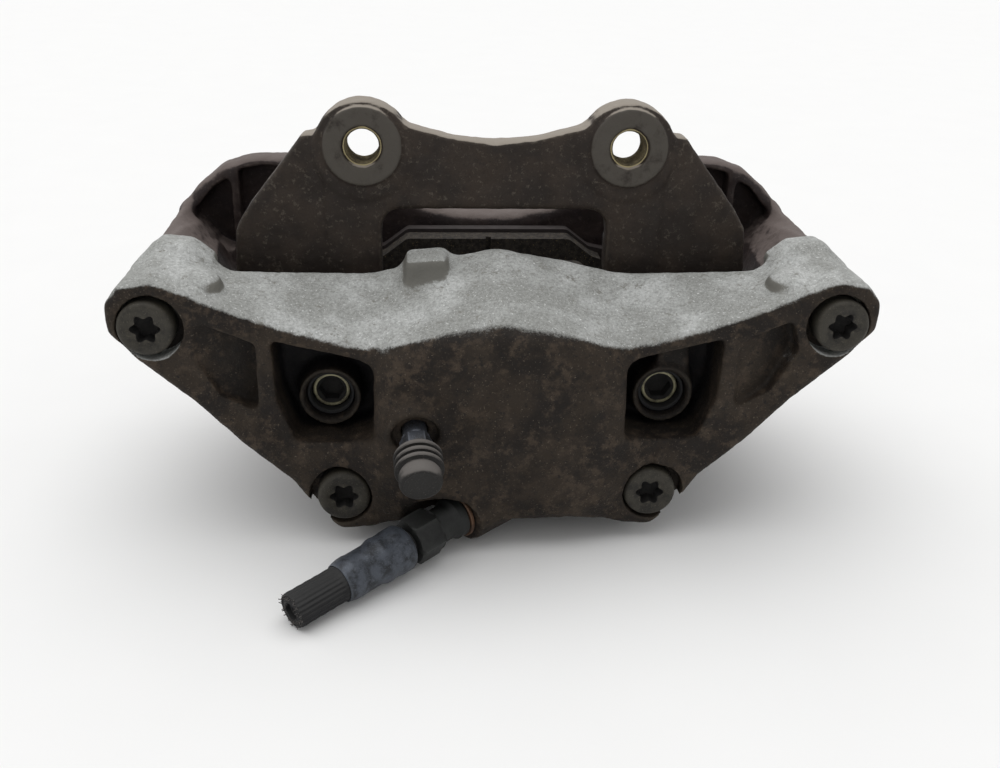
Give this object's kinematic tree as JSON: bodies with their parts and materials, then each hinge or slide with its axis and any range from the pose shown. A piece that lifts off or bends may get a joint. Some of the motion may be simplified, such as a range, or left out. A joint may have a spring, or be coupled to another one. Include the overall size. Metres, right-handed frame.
{
  "type": "brake caliper",
  "caption": "Floating frame disc brake caliper: a piston housing bolted to an iron frame slides on pins in a carrier bracket and squeezes the disc between pads.",
  "frame": {"origin": "midway between the two mounting lugs' threaded holes, in the plane of their machined faces", "axes": "+X across the caliper through both lugs, +Y along the piston axis towards the disc, +Z towards the disc's axis"},
  "size_m": [0.286, 0.1847, 0.1621],
  "materials": {
    "carrier_iron": "greasy cast skin with worn edges",
    "frame_iron": "red-brown rust",
    "housing_aluminium": "sand-cast, grimy",
    "bolt_steel": "dulled olive plating",
    "piston_steel": "plated",
    "zinc_steel": "yellow zinc plating",
    "pad_steel": "dusty black paint",
    "friction": "friction compound",
    "rubber": "matt",
    "cap_rubber": "dusty",
    "copper": "tarnished copper",
    "fitting_steel": "black passivated"
  },
  "bodies": {
    "carrier": {"carrier_bracket": "carrier_iron", "guide_pin_left": "zinc_steel", "guide_pin_right": "zinc_steel"},
    "caliper": {"cylinder_housing": "housing_aluminium", "caliper_frame": "frame_iron", "frame_bolt_upper_left": "bolt_steel", "frame_bolt_upper_right": "bolt_steel", "frame_bolt_lower_left": "bolt_steel", "frame_bolt_lower_right": "bolt_steel", "guide_bush_left": "rubber", "guide_bush_right": "rubber", "piston_seal": "rubber", "piston_dust_boot": "rubber", "outer_pad_plate": "pad_steel", "outer_pad_lining": "friction", "outer_pad_shim": "piston_steel", "hose_washer": "copper", "hose_fitting": "fitting_steel", "hose_ferrule": "fitting_steel", "hose_stub": "rubber", "hose_liner": "rubber"},
    "piston_and_pad": {"piston": "piston_steel", "inner_pad_plate": "pad_steel", "inner_pad_lining": "friction", "inner_pad_clip": "piston_steel"},
    "bleed_screw": {"bleed_screw": "bolt_steel"},
    "bleed_cap": {"bleed_cap": "cap_rubber"}
  },
  "joints": [
    {"name": "caliper_slide", "type": "slide", "parent": "carrier", "child": "caliper", "axis": [0, 1, 0], "range_m": [-0.012, 0]},
    {"name": "piston_slide", "type": "slide", "parent": "caliper", "child": "piston_and_pad", "axis": [0, 1, 0], "range_m": [0, 0.011]},
    {"name": "bleed_screw_turn", "type": "hinge", "parent": "caliper", "child": "bleed_screw", "pos_m": [-0.0322, -0.0577, -0.0923], "axis": [0.0899, -0.9588, -0.2696], "range_deg": [0, 270]},
    {"name": "bleed_cap_pull", "type": "slide", "parent": "bleed_screw", "child": "bleed_cap", "axis": [0.0899, -0.9588, -0.2696], "range_m": [0, 0.02]}
  ]
}
